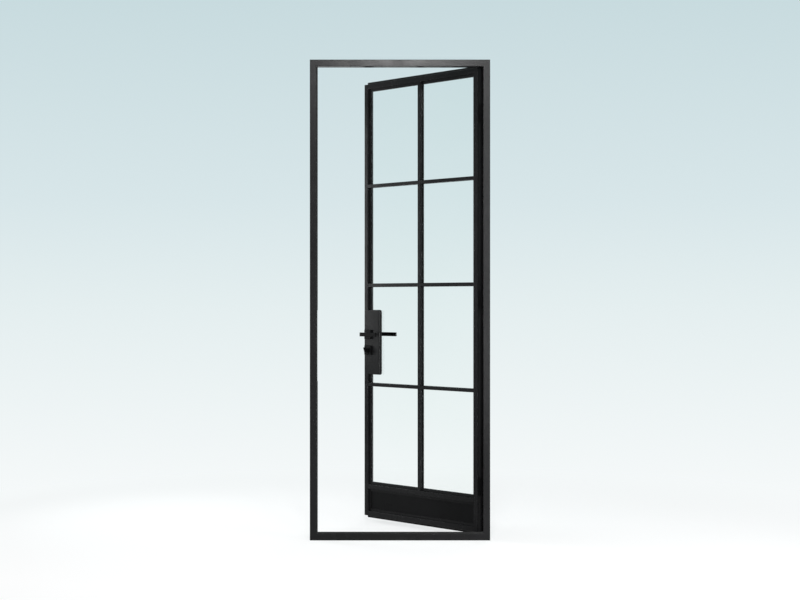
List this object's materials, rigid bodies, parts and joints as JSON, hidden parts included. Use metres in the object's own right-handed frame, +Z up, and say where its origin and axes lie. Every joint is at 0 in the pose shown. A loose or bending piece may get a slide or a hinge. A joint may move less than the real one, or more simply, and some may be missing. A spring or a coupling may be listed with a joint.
{
  "type": "casement door",
  "caption": "Black steel casement door standing open in its welded frame, with glazed panes, kick panel, barrel hinges, lock box and lever handles.",
  "frame": {"origin": "middle of the frame's underside, at half the frame's depth", "axes": "+Z up, +X to the hinge side seen from the front, +Y away from the front, the way the leaf opens"},
  "size_m": [0.9, 0.682, 2.4],
  "materials": {
    "black_steel": "satin",
    "hardware_black": "satin",
    "bright_steel": "brushed",
    "glass": "clear",
    "seal_rubber": "matte"
  },
  "bodies": {
    "frame": {"frame_jamb_lock": "black_steel", "frame_jamb_hinge": "black_steel", "frame_head": "black_steel", "frame_sill": "black_steel", "strike_plate": "bright_steel", "hinge_pins": "bright_steel", "hinge_1_frame_half": "black_steel", "hinge_2_frame_half": "black_steel", "hinge_3_frame_half": "black_steel"},
    "lever": {"lever_front": "hardware_black", "lever_back": "hardware_black", "lever_spindle": "bright_steel", "lock_follower": "bright_steel"},
    "latch": {"latch_bolt": "bright_steel"},
    "dead_bolt": {"dead_bolt": "bright_steel"},
    "thumb_turn": {"thumb_turn": "hardware_black"},
    "leaf": {"beads_kick_panel": "black_steel", "beads_row_1": "black_steel", "beads_row_2": "black_steel", "beads_row_3": "black_steel", "beads_row_4": "black_steel", "glass_1_hinge": "glass", "glass_1_lock": "glass", "glass_2_hinge": "glass", "glass_2_lock": "glass", "glass_3_hinge": "glass", "glass_3_lock": "glass", "glass_4_hinge": "glass", "glass_4_lock": "glass", "glazing_bar_1_hinge": "black_steel", "glazing_bar_1_lock": "black_steel", "glazing_bar_2_hinge": "black_steel", "glazing_bar_2_lock": "black_steel", "glazing_bar_3_hinge": "black_steel", "glazing_bar_3_lock": "black_steel", "glazing_bar_upright": "black_steel", "hinge_1_leaf_half": "black_steel", "hinge_2_leaf_half": "black_steel", "hinge_3_leaf_half": "black_steel", "kick_panel": "black_steel", "leaf_seal": "seal_rubber", "lock_case": "bright_steel", "lock_cover": "black_steel", "lock_cylinder": "hardware_black", "lock_faceplate": "bright_steel", "lock_housing": "black_steel", "rail_bottom": "black_steel", "rail_middle": "black_steel", "rail_top": "black_steel", "rose_cylinder_back": "hardware_black", "rose_cylinder_front": "hardware_black", "rose_lever_back": "hardware_black", "rose_lever_front": "hardware_black", "stile_hinge": "black_steel", "stile_lock": "black_steel"}
  },
  "joints": [
    {"name": "leaf_swing", "type": "hinge", "parent": "frame", "child": "leaf", "pos_m": [0.44, 0.0295, 1.2], "axis": [0, 0, -1], "range_deg": [-45.5, 64.5]},
    {"name": "lever_turn", "type": "hinge", "parent": "leaf", "child": "lever", "pos_m": [-0.15152, 0.59648, 1.015], "axis": [0.7133, 0.7009, 0], "range_deg": [0, 45], "stiffness_Nm_per_rad": 2, "springref_deg": -28.65},
    {"name": "latch_slide", "type": "slide", "parent": "leaf", "child": "latch", "axis": [0.7009, -0.7133, 0], "range_m": [0, 0.012]},
    {"name": "thumb_turn_turn", "type": "hinge", "parent": "leaf", "child": "thumb_turn", "pos_m": [-0.15152, 0.59648, 0.93], "axis": [0.7133, 0.7009, 0], "range_deg": [0, 90]},
    {"name": "dead_bolt_slide", "type": "slide", "parent": "leaf", "child": "dead_bolt", "axis": [-0.7009, 0.7133, 0], "range_m": [0, 0.02]}
  ],
  "couplings": [
    {"joint": "latch_slide", "follows": "lever_turn", "m_per_rad": 0.015278},
    {"joint": "thumb_turn_turn", "follows": "dead_bolt_slide", "rad_per_m": 78.54}
  ]
}
